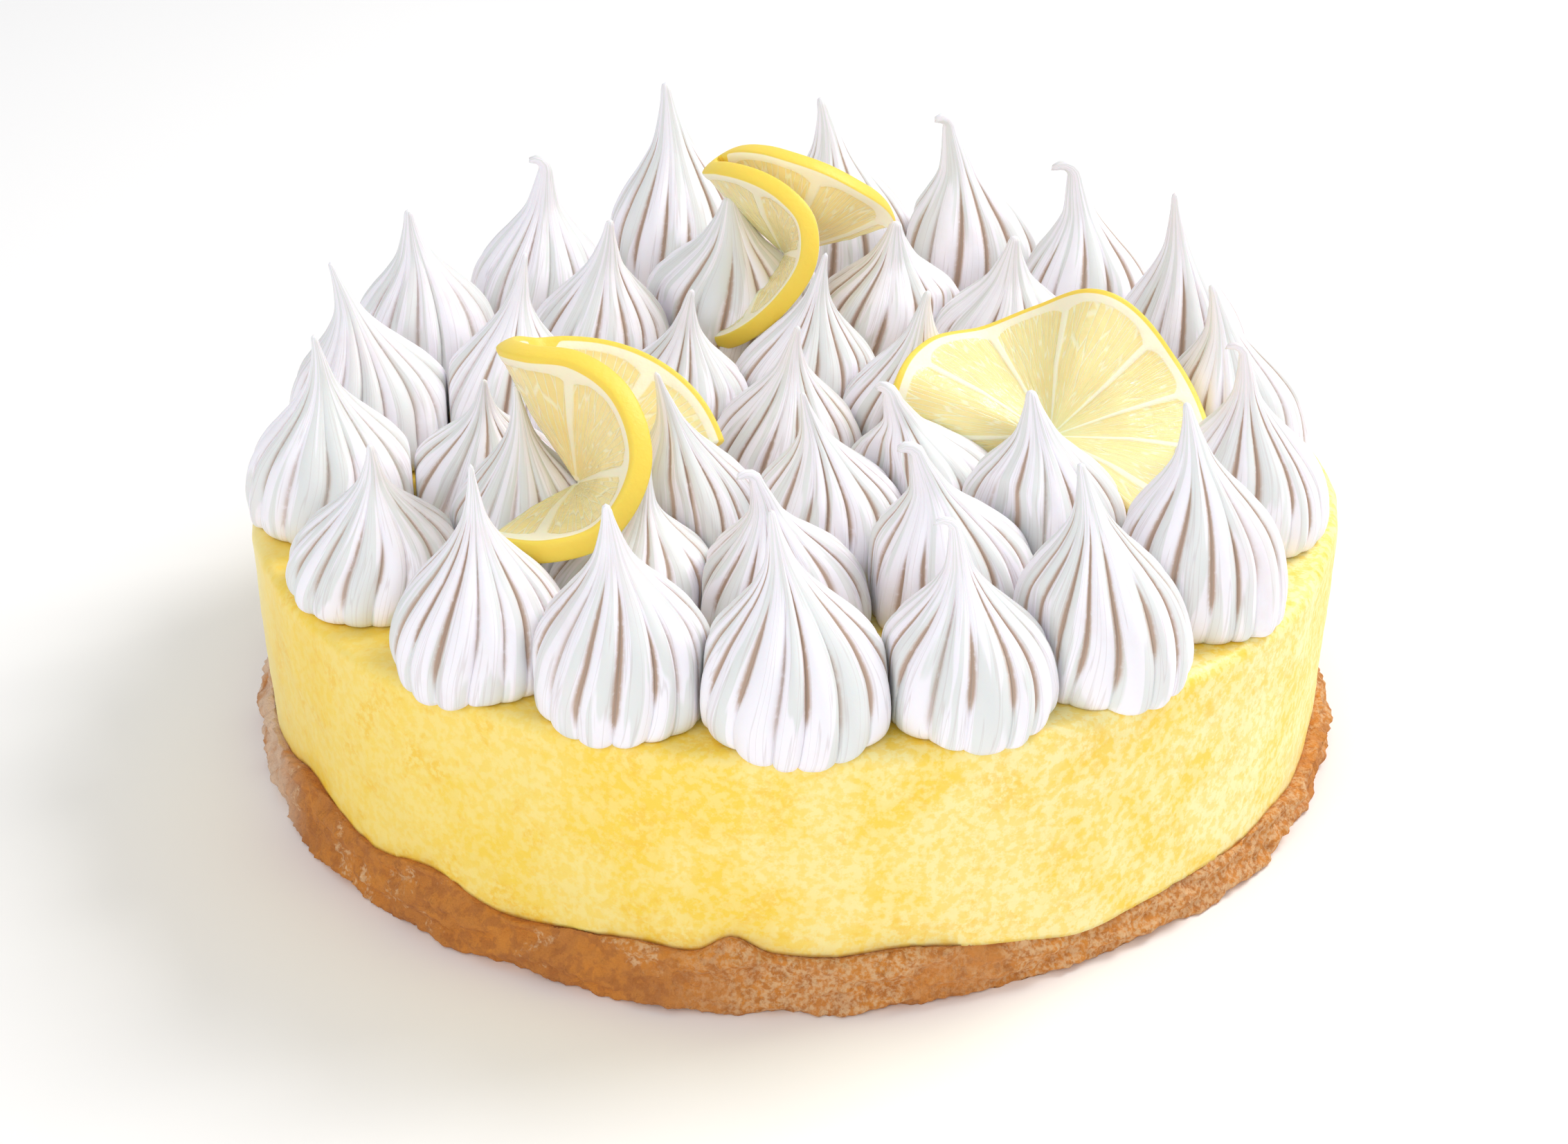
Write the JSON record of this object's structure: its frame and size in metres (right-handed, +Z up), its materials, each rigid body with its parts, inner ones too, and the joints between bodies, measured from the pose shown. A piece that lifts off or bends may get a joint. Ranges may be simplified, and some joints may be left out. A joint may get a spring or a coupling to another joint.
{
  "type": "lemon meringue pie",
  "caption": "Round lemon meringue pie: a crumb base, a deep disc of set lemon filling, pointed piped meringue kisses all over its top, and twisted lemon slices pushed in between them.",
  "frame": {"origin": "middle of the flat underside of the crumb base, on the surface that the pie stands on", "axes": "+Z up; the front of the pie faces -Y and its right side +X"},
  "size_m": [0.2058, 0.2064, 0.0965],
  "materials": {
    "crust": "dry, rough, browned crumb",
    "filling": "set lemon filling with a soft sheen",
    "meringue": "smooth satin meringue",
    "lemon": "moist fruit with a waxy rind"
  },
  "bodies": {
    "root": {"crust_base": "crust", "lemon_filling": "filling", "kiss_outer_01": "meringue", "kiss_outer_02": "meringue", "kiss_outer_03": "meringue", "kiss_outer_04": "meringue", "kiss_outer_05": "meringue", "kiss_outer_06": "meringue", "kiss_outer_07": "meringue", "kiss_outer_08": "meringue", "kiss_outer_09": "meringue", "kiss_outer_10": "meringue", "kiss_outer_11": "meringue", "kiss_outer_12": "meringue", "kiss_outer_13": "meringue", "kiss_outer_14": "meringue", "kiss_outer_15": "meringue", "kiss_outer_16": "meringue", "kiss_outer_17": "meringue", "kiss_outer_18": "meringue", "kiss_middle_01": "meringue", "kiss_middle_02": "meringue", "kiss_middle_03": "meringue", "kiss_middle_04": "meringue", "kiss_middle_05": "meringue", "kiss_middle_06": "meringue", "kiss_middle_07": "meringue", "kiss_middle_08": "meringue", "kiss_middle_09": "meringue", "kiss_middle_10": "meringue", "kiss_middle_11": "meringue", "kiss_middle_12": "meringue", "kiss_middle_13": "meringue", "kiss_inner_01": "meringue", "kiss_inner_02": "meringue", "kiss_inner_03": "meringue", "kiss_inner_04": "meringue", "kiss_inner_05": "meringue", "kiss_inner_06": "meringue", "kiss_inner_07": "meringue", "kiss_inner_08": "meringue", "lemon_slice_left": "lemon", "lemon_slice_back": "lemon", "lemon_slice_right": "lemon"}
  },
  "joints": []
}
